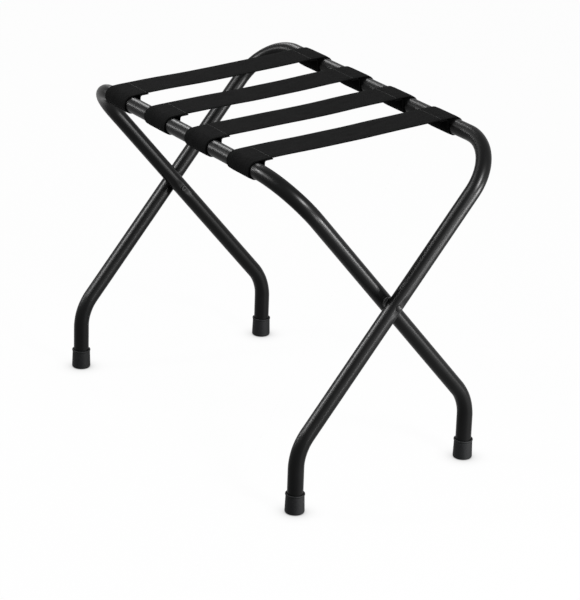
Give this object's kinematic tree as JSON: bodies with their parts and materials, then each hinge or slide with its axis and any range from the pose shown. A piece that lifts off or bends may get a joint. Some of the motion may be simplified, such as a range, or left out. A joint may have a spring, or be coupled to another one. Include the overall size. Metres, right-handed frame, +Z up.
{
  "type": "folding luggage rack",
  "caption": "Folding luggage rack: two crossed U-shaped black tube frames riveted at the legs, black webbing straps looped over both top rails, rubber feet.",
  "frame": {"origin": "on the floor, below the middle of the outline seen from above, 3.9 mm from the plane midway between the feet", "axes": "+Z up, +Y along the top rails from front to back, +X across the rack towards the outer frame's rail"},
  "size_m": [0.3488, 0.5922, 0.4724],
  "materials": {
    "black_tube": "satin black coating on steel tube",
    "black_rivet": "black coated steel, slightly glossy",
    "spacer": "black nylon",
    "foot_rubber": "matte moulded black rubber",
    "disc_steel": "plain steel",
    "webbing": "woven black webbing with fine ribs",
    "thread": "black sewing thread"
  },
  "bodies": {
    "outer_frame": {"outer_frame_tube": "black_tube", "front_pivot_rivet": "black_rivet", "back_pivot_rivet": "black_rivet", "front_pivot_spacer": "spacer", "back_pivot_spacer": "spacer", "outer_front_foot": "foot_rubber", "outer_back_foot": "foot_rubber", "outer_front_foot_disc": "disc_steel", "outer_back_foot_disc": "disc_steel"},
    "inner_frame": {"inner_frame_tube": "black_tube", "inner_front_foot": "foot_rubber", "inner_back_foot": "foot_rubber", "inner_front_foot_disc": "disc_steel", "inner_back_foot_disc": "disc_steel"},
    "outer_strap_halves": {"strap_1_outer_half": "webbing", "strap_2_outer_half": "webbing", "strap_3_outer_half": "webbing", "strap_4_outer_half": "webbing", "outer_seam_thread": "thread"},
    "inner_strap_halves": {"strap_1_inner_half": "webbing", "strap_2_inner_half": "webbing", "strap_3_inner_half": "webbing", "strap_4_inner_half": "webbing", "inner_seam_thread": "thread"}
  },
  "joints": [
    {"name": "fold", "type": "hinge", "parent": "outer_frame", "child": "inner_frame", "pos_m": [-0.00389, 0, 0.26518], "axis": [0, 1, 0], "range_deg": [0, 74]},
    {"name": "outer_strap_hang", "type": "hinge", "parent": "outer_frame", "child": "outer_strap_halves", "pos_m": [0.16111, 0, 0.459], "axis": [0, -1, 0], "range_deg": [0, 52], "deforming": ["strap_1_outer_half", "strap_2_outer_half", "strap_3_outer_half", "strap_4_outer_half", "outer_seam_thread"]},
    {"name": "inner_strap_hang", "type": "hinge", "parent": "inner_frame", "child": "inner_strap_halves", "pos_m": [-0.16111, 0, 0.44986], "axis": [0, 1, 0], "range_deg": [0, 54], "deforming": ["strap_1_inner_half", "strap_2_inner_half", "strap_3_inner_half", "strap_4_inner_half", "inner_seam_thread"]}
  ],
  "couplings": [
    {"joint": "outer_strap_hang", "follows": "fold", "ratio": 0.695},
    {"joint": "inner_strap_hang", "follows": "fold", "ratio": 0.722}
  ]
}
